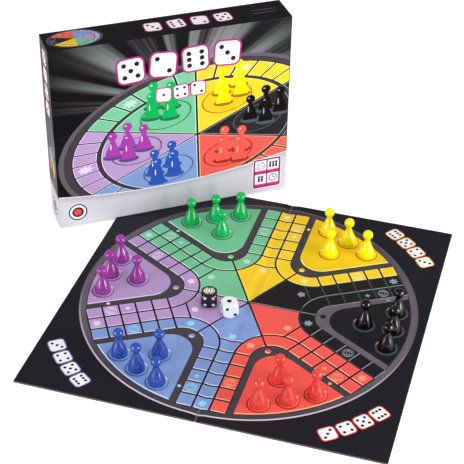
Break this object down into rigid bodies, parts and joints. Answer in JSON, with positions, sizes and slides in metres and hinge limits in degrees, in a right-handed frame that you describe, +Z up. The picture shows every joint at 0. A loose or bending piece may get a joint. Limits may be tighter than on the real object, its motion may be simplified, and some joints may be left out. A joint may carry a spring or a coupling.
{
  "type": "ludo board game set",
  "caption": "Folding ludo board with standing pawns and dice, and its lidded card box with base tray, insert and rules leaflet.",
  "frame": {"origin": "middle of the left board leaf's underside, which lies on the table", "axes": "+X across the fold towards the right leaf, +Y along the fold to the board's far edge, +Z up"},
  "size_m": [0.4342, 0.4249, 0.2195],
  "materials": {
    "greyboard": "raw grey pulp board",
    "printed_face": "printed and laminated paper, satin",
    "black_paper": "fine-grained black cover paper",
    "lid_print": "printed and laminated paper over greyboard, glossy",
    "white_card": "white-lined card, matt",
    "leaflet_paper": "uncoated paper",
    "black_pawn_plastic": "moulded, glossy, opaque",
    "yellow_pawn_plastic": "moulded, glossy, opaque",
    "green_pawn_plastic": "moulded, glossy, opaque",
    "purple_pawn_plastic": "moulded, glossy, slightly translucent",
    "blue_pawn_plastic": "moulded, glossy, slightly translucent",
    "red_pawn_plastic": "moulded, glossy, slightly translucent",
    "black_die_plastic": "moulded, glossy, white inlaid pips",
    "white_die_plastic": "moulded, glossy, black inlaid pips"
  },
  "bodies": {
    "board_left": {"left_board_core": "greyboard", "left_face_sheet": "printed_face", "left_back_sheet": "black_paper", "fold_crease_strip": "printed_face"},
    "board_right": {"right_board_core": "greyboard", "right_face_sheet": "printed_face", "right_back_sheet": "black_paper"},
    "box_lid": {"box_lid": "lid_print"},
    "box_base": {"box_base_tray": "white_card", "card_insert": "white_card", "rules_leaflet": "leaflet_paper"},
    "pawn_black_1": {"pawn_black_1": "black_pawn_plastic"},
    "pawn_black_2": {"pawn_black_2": "black_pawn_plastic"},
    "pawn_black_3": {"pawn_black_3": "black_pawn_plastic"},
    "pawn_black_4": {"pawn_black_4": "black_pawn_plastic"},
    "pawn_yellow_1": {"pawn_yellow_1": "yellow_pawn_plastic"},
    "pawn_yellow_2": {"pawn_yellow_2": "yellow_pawn_plastic"},
    "pawn_yellow_3": {"pawn_yellow_3": "yellow_pawn_plastic"},
    "pawn_yellow_4": {"pawn_yellow_4": "yellow_pawn_plastic"},
    "pawn_green_1": {"pawn_green_1": "green_pawn_plastic"},
    "pawn_green_2": {"pawn_green_2": "green_pawn_plastic"},
    "pawn_green_3": {"pawn_green_3": "green_pawn_plastic"},
    "pawn_green_4": {"pawn_green_4": "green_pawn_plastic"},
    "pawn_purple_1": {"pawn_purple_1": "purple_pawn_plastic"},
    "pawn_purple_2": {"pawn_purple_2": "purple_pawn_plastic"},
    "pawn_purple_3": {"pawn_purple_3": "purple_pawn_plastic"},
    "pawn_purple_4": {"pawn_purple_4": "purple_pawn_plastic"},
    "pawn_blue_1": {"pawn_blue_1": "blue_pawn_plastic"},
    "pawn_blue_2": {"pawn_blue_2": "blue_pawn_plastic"},
    "pawn_blue_3": {"pawn_blue_3": "blue_pawn_plastic"},
    "pawn_blue_4": {"pawn_blue_4": "blue_pawn_plastic"},
    "pawn_red_1": {"pawn_red_1": "red_pawn_plastic"},
    "pawn_red_2": {"pawn_red_2": "red_pawn_plastic"},
    "pawn_red_3": {"pawn_red_3": "red_pawn_plastic"},
    "pawn_red_4": {"pawn_red_4": "red_pawn_plastic"},
    "die_black": {"die_black": "black_die_plastic"},
    "die_white": {"die_white": "white_die_plastic"}
  },
  "joints": [
    {"name": "board_fold", "type": "hinge", "parent": "board_left", "child": "board_right", "pos_m": [0.09075, 0, 0.0022], "axis": [0, -1, 0], "range_deg": [0, 100]},
    {"name": "box_lift", "type": "slide", "parent": "board_left", "child": "box_lid", "axis": [0, 0, -1], "range_m": [-0.06, 0]},
    {"name": "base_tray_pull", "type": "slide", "parent": "box_lid", "child": "box_base", "axis": [-0.5793, 0.8151, 0], "range_m": [0, 0.08]},
    {"name": "pawn_black_1_lift", "type": "slide", "parent": "board_right", "child": "pawn_black_1", "axis": [0, 0, -1], "range_m": [-0.05, 0]},
    {"name": "pawn_black_2_lift", "type": "slide", "parent": "board_right", "child": "pawn_black_2", "axis": [0, 0, -1], "range_m": [-0.05, 0]},
    {"name": "pawn_black_3_lift", "type": "slide", "parent": "board_right", "child": "pawn_black_3", "axis": [0, 0, -1], "range_m": [-0.05, 0]},
    {"name": "pawn_black_4_lift", "type": "slide", "parent": "board_right", "child": "pawn_black_4", "axis": [0, 0, -1], "range_m": [-0.05, 0]},
    {"name": "pawn_yellow_1_lift", "type": "slide", "parent": "board_right", "child": "pawn_yellow_1", "axis": [0, 0, -1], "range_m": [-0.05, 0]},
    {"name": "pawn_yellow_2_lift", "type": "slide", "parent": "board_right", "child": "pawn_yellow_2", "axis": [0, 0, -1], "range_m": [-0.05, 0]},
    {"name": "pawn_yellow_3_lift", "type": "slide", "parent": "board_right", "child": "pawn_yellow_3", "axis": [0, 0, -1], "range_m": [-0.05, 0]},
    {"name": "pawn_yellow_4_lift", "type": "slide", "parent": "board_right", "child": "pawn_yellow_4", "axis": [0, 0, -1], "range_m": [-0.05, 0]},
    {"name": "pawn_green_1_lift", "type": "slide", "parent": "board_left", "child": "pawn_green_1", "axis": [0, 0, -1], "range_m": [-0.05, 0]},
    {"name": "pawn_green_2_lift", "type": "slide", "parent": "board_left", "child": "pawn_green_2", "axis": [0, 0, -1], "range_m": [-0.05, 0]},
    {"name": "pawn_green_3_lift", "type": "slide", "parent": "board_left", "child": "pawn_green_3", "axis": [0, 0, -1], "range_m": [-0.05, 0]},
    {"name": "pawn_green_4_lift", "type": "slide", "parent": "board_left", "child": "pawn_green_4", "axis": [0, 0, -1], "range_m": [-0.05, 0]},
    {"name": "pawn_purple_1_lift", "type": "slide", "parent": "board_left", "child": "pawn_purple_1", "axis": [0, 0, -1], "range_m": [-0.05, 0]},
    {"name": "pawn_purple_2_lift", "type": "slide", "parent": "board_left", "child": "pawn_purple_2", "axis": [0, 0, -1], "range_m": [-0.05, 0]},
    {"name": "pawn_purple_3_lift", "type": "slide", "parent": "board_left", "child": "pawn_purple_3", "axis": [0, 0, -1], "range_m": [-0.05, 0]},
    {"name": "pawn_purple_4_lift", "type": "slide", "parent": "board_left", "child": "pawn_purple_4", "axis": [0, 0, -1], "range_m": [-0.05, 0]},
    {"name": "pawn_blue_1_lift", "type": "slide", "parent": "board_left", "child": "pawn_blue_1", "axis": [0, 0, -1], "range_m": [-0.05, 0]},
    {"name": "pawn_blue_2_lift", "type": "slide", "parent": "board_left", "child": "pawn_blue_2", "axis": [0, 0, -1], "range_m": [-0.05, 0]},
    {"name": "pawn_blue_3_lift", "type": "slide", "parent": "board_left", "child": "pawn_blue_3", "axis": [0, 0, -1], "range_m": [-0.05, 0]},
    {"name": "pawn_blue_4_lift", "type": "slide", "parent": "board_left", "child": "pawn_blue_4", "axis": [0, 0, -1], "range_m": [-0.05, 0]},
    {"name": "pawn_red_1_lift", "type": "slide", "parent": "board_right", "child": "pawn_red_1", "axis": [0, 0, -1], "range_m": [-0.05, 0]},
    {"name": "pawn_red_2_lift", "type": "slide", "parent": "board_right", "child": "pawn_red_2", "axis": [0, 0, -1], "range_m": [-0.05, 0]},
    {"name": "pawn_red_3_lift", "type": "slide", "parent": "board_right", "child": "pawn_red_3", "axis": [0, 0, -1], "range_m": [-0.05, 0]},
    {"name": "pawn_red_4_lift", "type": "slide", "parent": "board_right", "child": "pawn_red_4", "axis": [0, 0, -1], "range_m": [-0.05, 0]},
    {"name": "die_black_lift", "type": "slide", "parent": "board_left", "child": "die_black", "axis": [0, 0, -1], "range_m": [-0.05, 0]},
    {"name": "die_white_lift", "type": "slide", "parent": "board_left", "child": "die_white", "axis": [0, 0, -1], "range_m": [-0.05, 0]}
  ]
}
